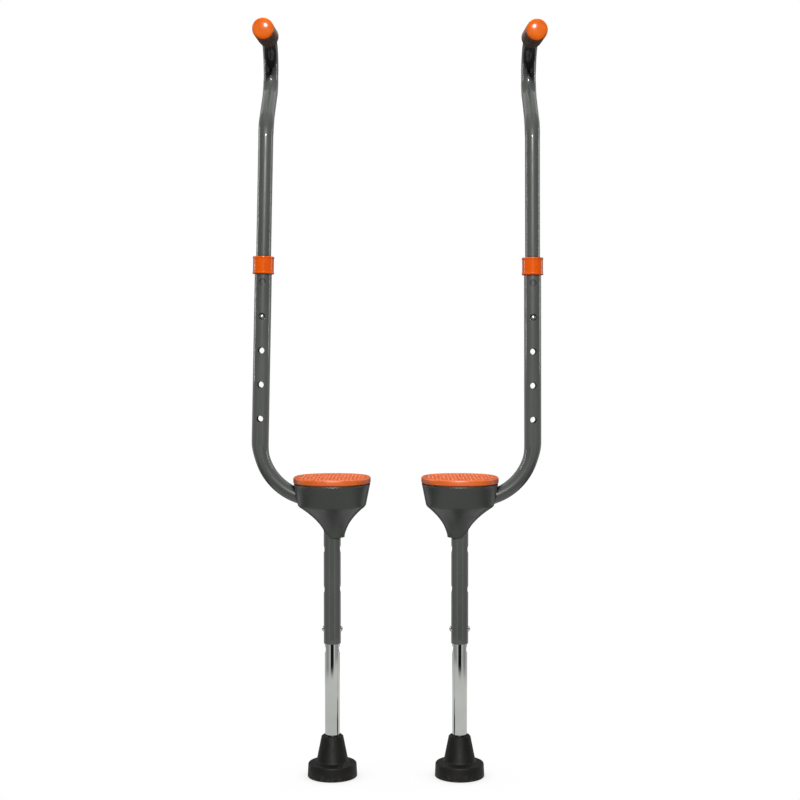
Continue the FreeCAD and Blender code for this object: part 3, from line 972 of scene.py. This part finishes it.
def pad_orange():
    """Satin plastic, with painted shade between the studs and scuffs on them."""
    look = Look("pad_orange")
    tone = look.clouds(35, (174, 76, 24), (184, 86, 31))
    tone = look.rubbed(tone, (206, 124, 84), 180, 0.7, edges=(0.52, 0.6))
    # painted shade in the hollows between the studs
    look.set("Base Color", look.painted_gap_shade(tone, (88, 30, 10), 2.0, 70, 0.5))
    look.rough(150, 0.3, 0.45)
    look.set("Subsurface Weight", 0.05)
    look.set("Subsurface Scale", 2 * MM)
    look.bump((look.noise(1100, 3), 0.05), (look.noise(300, 2), 0.05))
    return look.material


def housing_grey():
    """Satin dark moulding."""
    look = Look("housing_grey")
    tone = look.clouds(12, (42, 45, 42), (49, 52, 48))
    look.set("Base Color", look.rubbed(tone, (104, 106, 100), 210, 0.6, detail=4, sets_in=SPARSE))
    look.rough(60, 0.28, 0.42, detail=4)
    look.bump((look.noise(2200, 2), 0.02), (look.noise(40, 2), 0.1))
    return look.material


def grip_rubber():
    """Warm grey rubber, with painted shade in its grooves, and ribs paler from handling wear and a painted
    highlight.
    """
    look = Look("grip_rubber")
    tone = look.clouds(50, (106, 85, 72), (120, 97, 83))
    # painted shade in the grooves
    tone = look.painted_gap_shade(tone, (18, 16, 14), 5.0, 240, 0.7)
    # paler ribs: partly handling wear, partly painted highlight
    look.set("Base Color", look.rubbed(tone, (136, 114, 100), 120, 0.6))
    look.rough(160, 0.5, 0.7)
    look.bump((look.noise(1800, 3), 0.05), (look.noise(350, 2), 0.05))
    return look.material


def foot_rubber():
    """Black rubber, dusty just above the ground."""
    look = Look("foot_rubber")
    tone = look.clouds(30, (12, 12, 11), (18, 17, 15))
    height = look.add("ShaderNodeSeparateXYZ")
    look.feed(height.inputs["Vector"], look.place)
    low_down = look.spread(height.outputs["Z"], DUST_HEIGHT, 0.0)
    dusty = look.times(low_down, look.spread(look.noise(130, 4), *PATCHY, 0, 0.4))
    tone = look.mix(dusty, tone, colour(70, 67, 62))
    look.set("Base Color", look.rubbed(tone, (70, 68, 63), 260, 0.5))
    look.rough(90, 0.45, 0.62)
    look.set("Specular IOR Level", 0.18)
    look.bump((look.noise(1500, 3), 0.04), (look.noise(120, 2), 0.08))
    return look.material


def button_steel():
    """Polished steel, with painted shade round its foot."""
    look = Look("button_steel", metallic=1.0)
    tone = look.clouds(90, (216, 216, 212), (196, 196, 190), sets_in=HAZY)
    # painted shade in the gap round the button's foot
    look.set("Base Color", look.painted_gap_shade(tone, (14, 14, 13), 3.0, 300, 0.7))
    look.rough(400, 0.16, 0.28)
    look.bump((look.noise(900, 2), 0.004))
    return look.material


def plain_steel():
    """Brushed steel, for what is inside."""
    look = Look("plain_steel", metallic=1.0)
    look.set("Base Color", look.clouds(80, (168, 168, 166), (190, 189, 186)))
    brushed = look.noise(900, 3, (1, 0.05, 1))
    look.set("Roughness", look.spread(brushed, *WIDE, 0.25, 0.45))
    look.bump((brushed, 0.01))
    return look.material


LOOKS = {
    make.__name__: make()
    for make in (
        grey_paint,
        chrome,
        collar_orange,
        cap_orange,
        pad_orange,
        housing_grey,
        grip_rubber,
        foot_rubber,
        button_steel,
        plain_steel,
    )
}

# piece, body, look, whether it leans with the pole
PIECES = (
    (pole_tube, "frame", "grey_paint", True),
    (leg_sleeve, "frame", "grey_paint", False),
    (housing, "frame", "housing_grey", False),
    (foot_pad, "frame", "pad_orange", False),
    (collar, "frame", "collar_orange", True),
    (handle_tube, "handle", "grey_paint", True),
    (grip, "handle", "grip_rubber", True),
    (grip_cap, "handle", "cap_orange", True),
    (handle_button, "handle_snap", "button_steel", True),
    (leg_tube, "leg", "chrome", False),
    (rubber_foot, "leg", "foot_rubber", False),
    (leg_button_outer, "leg_snap_outer", "button_steel", False),
    (leg_button_inner, "leg_snap_inner", "button_steel", False),
)
STEEL_NODES = ("support_plate", "plate_screws", "foot_washer", "handle_spring", "leg_spring")


def dress(piece, look):
    """Gives a piece its look."""
    piece.data.materials.clear()
    piece.data.materials.append(LOOKS[look])


def build_stilt(stilt):
    """Each piece of one stilt, riding on its body in place of its CAD node. Inner steel keeps its mesh."""
    for make, body, look, leans in PIECES:
        node = f"{stilt.side}_{make.__name__}"
        piece = stilt.build(f"{node}_look", make(), leans)
        if make is housing:
            cut(piece, housing_cutters(stilt))
        soften(piece)
        dress(piece, look)
        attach(piece, f"{stilt.side}_{body}")
        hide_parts(node)
    for name in STEEL_NODES:
        dress(frame["nodes"][f"{stilt.side}_{name}"], "plain_steel")


# ---------------------------------------------------------------- studio
CAMERA_HEIGHT = 0.617
CAMERA_DISTANCE = 2.09
CAMERA_X = 0.006
CAMERA_TILT_DEG = 1.43
CAMERA_LENS = 63.0
SENSOR_WIDTH = 36.0
FLOOR_R = 6.0
CONTACT_SHADOW_REACH = 0.16
CONTACT_SHADOW_TONE = 0.62
CONTACT_SHADOW_SAMPLES = 16
# what the object sees of the floor: a lit patch round each foot that fades out between these distances
LIT_FLOOR_R = (0.5, 0.7)
LIT_FLOOR_TONE = 0.68
LIT_FLOOR_PLAIN_TONE = 0.32        # the same, as it falls on the object as plain light

# how bright the room is, as the object mirrors it: (degrees round from the camera's side, brightness)
ROOM_BELOW_EYE_LEVEL = (
    (0, 0.01),
    (22, 0.01),
    (28, 0.7),
    (38, 0.66),
    (48, 0.42),
    (70, 0.4),
    (88, 0.3),
    (98, 0.36),
    (115, 0.62),
    (140, 0.6),
    (152, 0.2),
    (180, 0.06),
)
ROOM_ABOVE_EYE_LEVEL = (
    (0, 0.05),
    (40, 0.08),
    (80, 0.2),
    (102, 0.35),
    (120, 0.3),
    (136, 1.0),
    (154, 0.25),
    (180, 0.08),
)
# heights of the direction looked in, from -1 down to 1 up, between which one part of the room fades into
# the next
EYE_LEVEL = (-0.04, 0.06)
WALLS_START = (-0.38, -0.3)
# the far floor and the ceiling: (height of the direction looked in, brightness)
ROOM_UP_AND_DOWN = (
    (-1.0, 0.08),
    (-0.35, 0.08),
    (-0.3, 0.0),
    (0.5, 0.0),
    (0.8, 0.2),
    (0.92, 0.5),
    (1.0, 0.5),
)
SHARE_THAT_LIGHTS = 0.18        # how much of the room's brightness falls on the object as plain light


def add_camera():
    data = bpy.data.cameras.new("camera")
    data.lens = CAMERA_LENS
    data.sensor_width = SENSOR_WIDTH
    data.clip_start = 0.05
    camera = bpy.data.objects.new("camera", data)
    legs_y = frame["record"]["mounts"][0]["pos_m"][1]
    camera.location = (CAMERA_X, legs_y - CAMERA_DISTANCE, CAMERA_HEIGHT)
    camera.rotation_euler = (math.radians(90 - CAMERA_TILT_DEG), 0, 0)
    bpy.context.scene.collection.objects.link(camera)
    bpy.context.scene.camera = camera


class StudioWiring(Wiring):
    """The same, for the floor and the room."""

    def ray(self, kind):
        """1 for this kind of ray and 0 for the others."""
        return self.add("ShaderNodeLightPath").outputs[f"Is {kind} Ray"]

    def bands(self, place, table):
        """Brightness along place, which runs from 0 to 1, from a table of (place, brightness)."""
        node = self.add("ShaderNodeValToRGB")
        self.feed(node.inputs["Fac"], place)
        stops = node.color_ramp.elements
        while len(stops) < len(table):
            stops.new(0.5)
        for stop, (where, light) in zip(stops, table):
            stop.position = where
            stop.color = (light, light, light, 1)
        return node.outputs["Color"]

    def shade(self, kind, strength=1.0):
        """A white shader."""
        node = self.add(kind)
        node.inputs["Color"].default_value = (1, 1, 1, 1)
        if "Strength" in node.inputs:
            self.feed(node.inputs["Strength"], strength)
        return node.outputs[0]

    def blend(self, share, first, second):
        node = self.add("ShaderNodeMixShader")
        self.feed(node.inputs["Fac"], share)
        self.feed(node.inputs[1], first)
        self.feed(node.inputs[2], second)
        return node.outputs["Shader"]


def add_floor():
    """A pale floor that holds a soft shadow where the object stands. The object sees lit patches of it."""
    bpy.ops.mesh.primitive_circle_add(vertices=64, radius=FLOOR_R, fill_type="NGON")
    floor = bpy.context.object
    floor.name = "floor"
    floor.visible_shadow = False
    material = bpy.data.materials.new("floor")
    material.use_nodes = True
    material.cycles.emission_sampling = "NONE"
    tree = material.node_tree
    tree.nodes.remove(tree.nodes["Principled BSDF"])
    wiring = StudioWiring(tree)
    near = wiring.openness(CONTACT_SHADOW_REACH, CONTACT_SHADOW_SAMPLES)
    contact = wiring.ramp(near, 0.0, 1.0, CONTACT_SHADOW_TONE, 1.0)
    x, y, _ = wiring.split("Object")
    legs_x, legs_y, _ = frame["record"]["mounts"][0]["pos_m"]
    from_leg_x = wiring.maths("SUBTRACT", wiring.maths("ABSOLUTE", x), abs(legs_x))
    from_leg_y = wiring.maths("SUBTRACT", y, legs_y)
    squares = [wiring.times(along, along) for along in (from_leg_x, from_leg_y)]
    from_leg = wiring.maths("SQRT", wiring.maths("ADD", *squares))
    lit = wiring.ramp(from_leg, *LIT_FLOOR_R, 1.0, 0.0)
    tone = wiring.ramp(wiring.ray("Diffuse"), 0.0, 1.0, LIT_FLOOR_TONE, LIT_FLOOR_PLAIN_TONE)
    glow = wiring.shade("ShaderNodeEmission", tone)
    patch = wiring.blend(lit, wiring.shade("ShaderNodeBsdfTransparent"), glow)
    to_camera = wiring.shade("ShaderNodeEmission", contact)
    floor_look = wiring.blend(wiring.ray("Camera"), patch, to_camera)
    wiring.feed(tree.nodes["Material Output"].inputs["Surface"], floor_look)
    floor.data.materials.append(material)


def add_world():
    """Plain white to the camera. To the object, a room with a pale backdrop and a dark camera side."""
    world = bpy.data.worlds.new("studio")
    bpy.context.scene.world = world
    world.use_nodes = True
    world.cycles.sampling_method = "NONE"        # so that SHARE_THAT_LIGHTS holds
    tree = world.node_tree
    tree.nodes.remove(tree.nodes["Background"])
    wiring = StudioWiring(tree)
    x, y, z = wiring.split("Generated")
    angle = wiring.maths("ARCTAN2", wiring.maths("ABSOLUTE", x), wiring.times(y, -1.0))
    round_from_front = wiring.maths("DIVIDE", angle, math.pi)

    def round_room(table):
        return wiring.bands(round_from_front, [(degrees / 180, light) for degrees, light in table])

    lower = wiring.times(round_room(ROOM_BELOW_EYE_LEVEL), wiring.ramp(z, *EYE_LEVEL, 1.0, 0.0))
    lower = wiring.times(lower, wiring.ramp(z, *WALLS_START))
    upper = wiring.times(round_room(ROOM_ABOVE_EYE_LEVEL), wiring.ramp(z, *EYE_LEVEL))
    height = wiring.spread(z, -1.0, 1.0)
    up_and_down = wiring.bands(height, [((z_looked + 1) / 2, light) for z_looked, light in ROOM_UP_AND_DOWN])
    seen = wiring.maths("MAXIMUM", wiring.maths("ADD", lower, upper), up_and_down)
    share = wiring.ramp(wiring.ray("Diffuse"), 0.0, 1.0, 1.0, SHARE_THAT_LIGHTS)
    room = wiring.shade("ShaderNodeBackground", wiring.times(seen, share))
    both = wiring.blend(wiring.ray("Camera"), room, wiring.shade("ShaderNodeBackground"))
    wiring.feed(tree.nodes["World Output"].inputs["Surface"], both)


def add_softbox(name, place, aim, width, height, power, mirrored):
    data = bpy.data.lights.new(name, "AREA")
    data.shape = "RECTANGLE"
    data.size = width
    data.size_y = height
    data.energy = power
    light = bpy.data.objects.new(name, data)
    light.location = place
    light.rotation_euler = (Vector(aim) - Vector(place)).to_track_quat("-Z", "Y").to_euler()
    light.visible_glossy = mirrored
    bpy.context.scene.collection.objects.link(light)


# name, place, aim, width, height, watts, whether the object mirrors it
SOFTBOXES = (
    ("key", (0.0, -2.5, 1.72), (0.0, 0.0, 0.7), 0.16, 0.16, 128, True),
    ("left_strip", (-2.0, 0.6, 1.15), (0.0, 0.0, 0.9), 0.14, 1.1, 7, True),
    ("right_strip", (2.0, 0.6, 1.15), (0.0, 0.0, 0.9), 0.14, 1.1, 5.5, True),
    ("back_top", (0.0, 1.7, 2.3), (0.0, 0.0, 0.5), 1.2, 0.5, 14, True),
    ("overhead", (0.0, 0.22, 1.95), (0.0, 0.1, 0.7), 0.9, 0.5, 22, False),
)


for side in ("left", "right"):
    build_stilt(Stilt(side))
add_camera()
add_floor()
add_world()
for softbox in SOFTBOXES:
    add_softbox(*softbox)
bpy.context.scene.view_settings.view_transform = "Standard"
